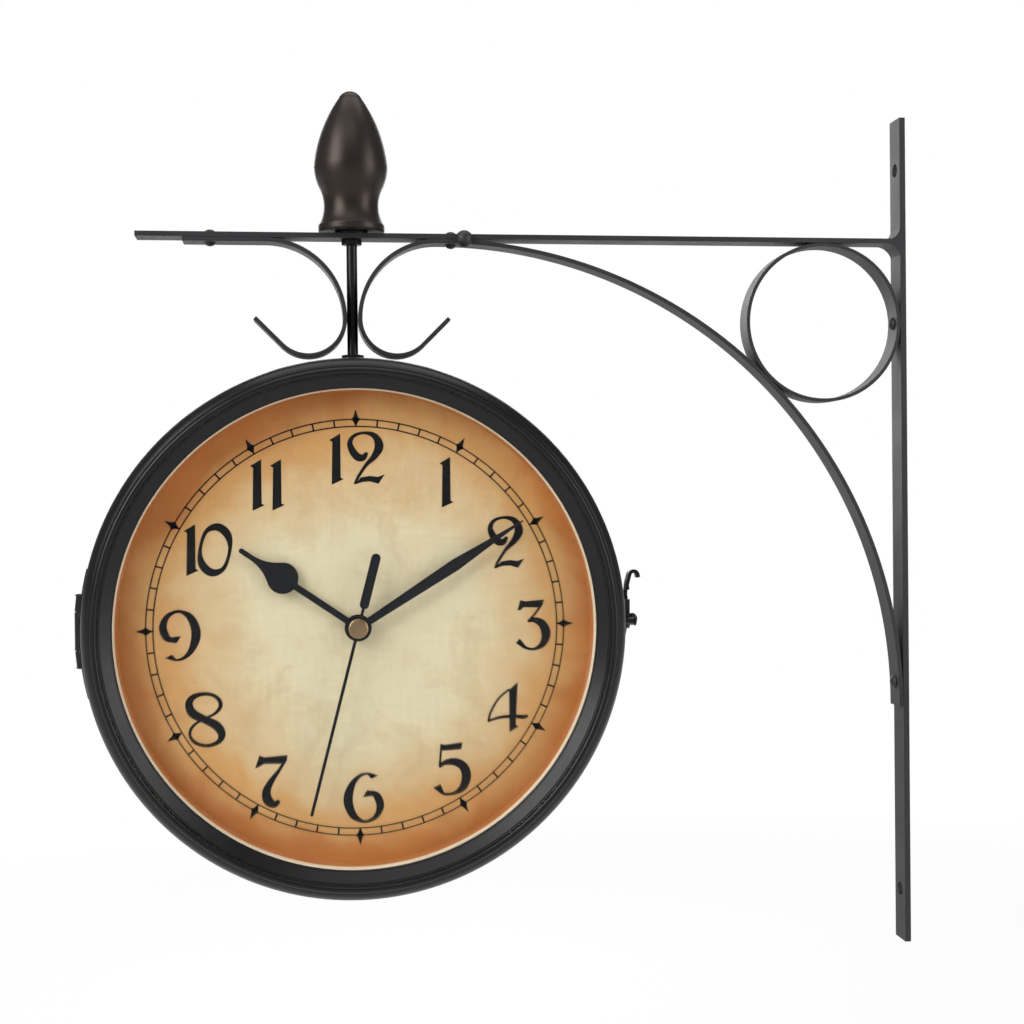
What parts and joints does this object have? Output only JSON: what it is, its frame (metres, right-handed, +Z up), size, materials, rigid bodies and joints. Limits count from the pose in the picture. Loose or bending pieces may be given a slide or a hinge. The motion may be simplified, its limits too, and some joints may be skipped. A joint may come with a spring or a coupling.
{
  "type": "double sided station clock",
  "caption": "Round double sided clock hung under a scrolled wall bracket, with a turned finial, a hinged front rim, a hook latch and hands on both faces.",
  "frame": {"origin": "centre of the wall strip's back face, midway between its two fixing holes", "axes": "+X towards the wall, +Y from the front dial to the rear dial, +Z up"},
  "size_m": [0.3036, 0.085, 0.3164],
  "materials": {
    "bracket_iron": "satin",
    "black_case": "satin",
    "finial_bronze": "satin",
    "glass": "gloss",
    "cream_paint": "matte",
    "dial_print": "matte",
    "movement_plastic": "matte",
    "aged_brass": "satin",
    "hand_black": "satin",
    "battery_wrap": "gloss",
    "spring_steel": "satin"
  },
  "bodies": {
    "mounted": {"arm": "bracket_iron", "arm_nut": "black_case", "bracket_ring": "bracket_iron", "bracket_rivets": "bracket_iron", "bracket_welds": "bracket_iron", "case_drum": "black_case", "case_nuts": "black_case", "case_washers": "black_case", "finial": "finial_bronze", "finial_washer": "finial_bronze", "hinge_leaf_case": "black_case", "hinge_pin": "black_case", "hinge_rivets_case": "black_case", "joining_ring": "black_case", "joining_screws": "black_case", "latch_pivot": "black_case", "latch_plate": "black_case", "left_scroll": "bracket_iron", "rear_battery": "battery_wrap", "rear_battery_contacts": "spring_steel", "rear_bezel": "black_case", "rear_bush_nut": "aged_brass", "rear_dial": "dial_print", "rear_dial_carrier": "movement_plastic", "rear_glass": "glass", "rear_movement": "movement_plastic", "rear_snap_ring": "black_case", "rear_spacer_ring": "cream_paint", "scrolled_brace": "bracket_iron", "stem_rod": "black_case", "wall_strip": "bracket_iron"},
    "door": {"front_bezel": "black_case", "front_glass": "glass", "front_spacer_ring": "cream_paint", "front_dial": "dial_print", "front_dial_carrier": "movement_plastic", "front_snap_ring": "black_case", "front_movement": "movement_plastic", "front_bush_nut": "aged_brass", "front_battery": "battery_wrap", "front_battery_contacts": "spring_steel", "hinge_leaf_door": "black_case", "hinge_rivets_door": "black_case", "latch_keeper": "black_case"},
    "latch": {"latch_lever": "black_case"},
    "front_hour": {"front_hour_hand": "hand_black", "front_hour_tube": "aged_brass"},
    "front_minute": {"front_minute_hand": "hand_black", "front_minute_arbor": "aged_brass"},
    "front_second": {"front_second_hand": "hand_black", "front_centre_cap": "aged_brass"},
    "front_knob": {"front_setting_knob": "movement_plastic"},
    "rear_hour": {"rear_hour_hand": "hand_black", "rear_hour_tube": "aged_brass"},
    "rear_minute": {"rear_minute_hand": "hand_black", "rear_minute_arbor": "aged_brass"},
    "rear_second": {"rear_second_hand": "hand_black", "rear_centre_cap": "aged_brass"},
    "rear_knob": {"rear_setting_knob": "movement_plastic"}
  },
  "joints": [
    {"name": "door_hinge", "type": "hinge", "parent": "mounted", "child": "door", "pos_m": [-0.3017, -0.021, -0.0304], "axis": [0, 0, -1], "range_deg": [0, 150]},
    {"name": "latch_turn", "type": "hinge", "parent": "mounted", "child": "latch", "pos_m": [-0.10915, -0.0145, -0.0304], "axis": [1, 0, 0], "range_deg": [-15, 90]},
    {"name": "front_second_turn", "type": "hinge", "parent": "door", "child": "front_second", "pos_m": [-0.207, -0.03, -0.0304], "axis": [0, 1, 0], "continuous": true},
    {"name": "front_minute_turn", "type": "hinge", "parent": "door", "child": "front_minute", "pos_m": [-0.207, -0.03, -0.0304], "axis": [0, 1, 0], "continuous": true},
    {"name": "front_hour_turn", "type": "hinge", "parent": "door", "child": "front_hour", "pos_m": [-0.207, -0.03, -0.0304], "axis": [0, 1, 0], "continuous": true},
    {"name": "front_knob_turn", "type": "hinge", "parent": "door", "child": "front_knob", "pos_m": [-0.207, -0.03, -0.0184], "axis": [0, 1, 0], "continuous": true},
    {"name": "rear_second_turn", "type": "hinge", "parent": "mounted", "child": "rear_second", "pos_m": [-0.207, 0.03, -0.0304], "axis": [0, -1, 0], "continuous": true},
    {"name": "rear_minute_turn", "type": "hinge", "parent": "mounted", "child": "rear_minute", "pos_m": [-0.207, 0.03, -0.0304], "axis": [0, -1, 0], "continuous": true},
    {"name": "rear_hour_turn", "type": "hinge", "parent": "mounted", "child": "rear_hour", "pos_m": [-0.207, 0.03, -0.0304], "axis": [0, -1, 0], "continuous": true},
    {"name": "rear_knob_turn", "type": "hinge", "parent": "mounted", "child": "rear_knob", "pos_m": [-0.207, 0.03, -0.0184], "axis": [0, -1, 0], "continuous": true}
  ],
  "couplings": [
    {"joint": "front_minute_turn", "follows": "front_second_turn", "ratio": 0.016667},
    {"joint": "front_hour_turn", "follows": "front_second_turn", "ratio": 0.0013889},
    {"joint": "front_knob_turn", "follows": "front_second_turn", "ratio": -0.016667},
    {"joint": "rear_minute_turn", "follows": "rear_second_turn", "ratio": 0.016667},
    {"joint": "rear_hour_turn", "follows": "rear_second_turn", "ratio": 0.0013889},
    {"joint": "rear_knob_turn", "follows": "rear_second_turn", "ratio": -0.016667}
  ]
}
